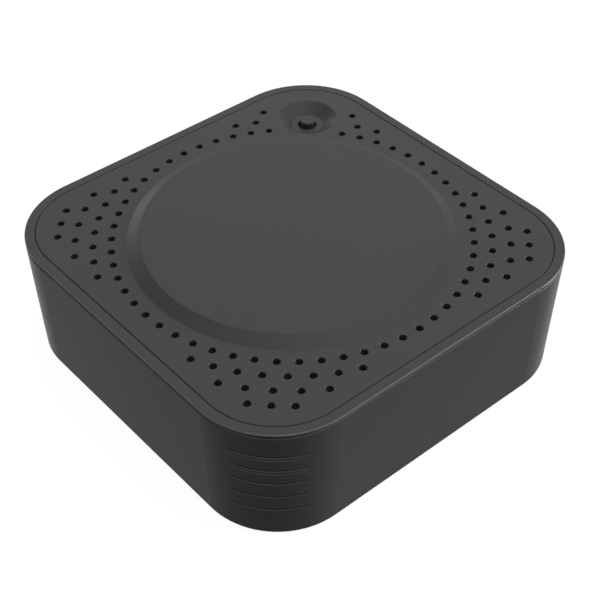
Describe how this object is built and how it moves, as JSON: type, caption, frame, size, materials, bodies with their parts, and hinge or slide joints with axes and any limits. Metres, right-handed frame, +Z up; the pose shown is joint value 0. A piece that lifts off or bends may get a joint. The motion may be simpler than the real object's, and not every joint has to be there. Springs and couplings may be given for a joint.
{
  "type": "infrared controller",
  "caption": "Rounded square smart home infrared controller with a perforated top, a raised round disc, a sunken button in one corner and grooves on another.",
  "frame": {"origin": "on the table under the middle of the box, level with the underside of the feet", "axes": "+Z up, the front wall faces -Y, the wall with the power socket faces +Y, and +X is to the right seen from the front"},
  "size_m": [0.096, 0.096, 0.033],
  "materials": {
    "casing": "fine matte dark grey moulded plastic",
    "film": "black adhesive film",
    "rubber": "soft black rubber",
    "screw_steel": "zinc-plated steel",
    "board": "green solder mask on glass fibre board",
    "radio_board": "dark blue solder mask",
    "tinned_steel": "tinned metal",
    "copper": "gold-plated copper track",
    "lamp_resin": "clear bluish resin",
    "receiver_resin": "dark resin that passes infrared",
    "black_resin": "black moulding compound",
    "ferrite": "grey ferrite",
    "can_aluminium": "drawn aluminium can",
    "ceramic_parts": "tan ceramic with tinned ends",
    "status_resin": "milky resin",
    "plunger_resin": "ivory moulded plastic"
  },
  "bodies": {
    "case": {"rim_frame": "casing", "top_plate": "casing", "lower_housing": "casing", "base_cover": "casing", "plate_tape": "film", "rubber_feet": "rubber", "base_screws": "screw_steel", "board_screws": "screw_steel", "main_board": "board", "radio_board": "radio_board", "radio_shield": "tinned_steel", "radio_antenna": "copper", "emitter_lamps": "lamp_resin", "emitter_leads": "tinned_steel", "receiver_body": "receiver_resin", "receiver_leads": "tinned_steel", "main_chip": "black_resin", "chip_legs": "tinned_steel", "driver_transistors": "black_resin", "supply_coil": "ferrite", "capacitor_cans": "can_aluminium", "capacitor_bases": "black_resin", "clock_crystal": "tinned_steel", "chip_parts": "ceramic_parts", "status_lamp": "status_resin", "inlet_shell": "tinned_steel", "inlet_tongue": "black_resin", "switch_base": "black_resin", "switch_cover": "tinned_steel", "switch_legs": "tinned_steel", "contact_dome": "tinned_steel"},
    "button": {"reset_button": "casing", "switch_plunger": "plunger_resin"}
  },
  "joints": [
    {"name": "button_press", "type": "slide", "parent": "case", "child": "button", "axis": [0, 0, -1], "range_m": [0, 0.0005], "stiffness_N_per_m": 1500, "springref_m": -0.0002}
  ]
}
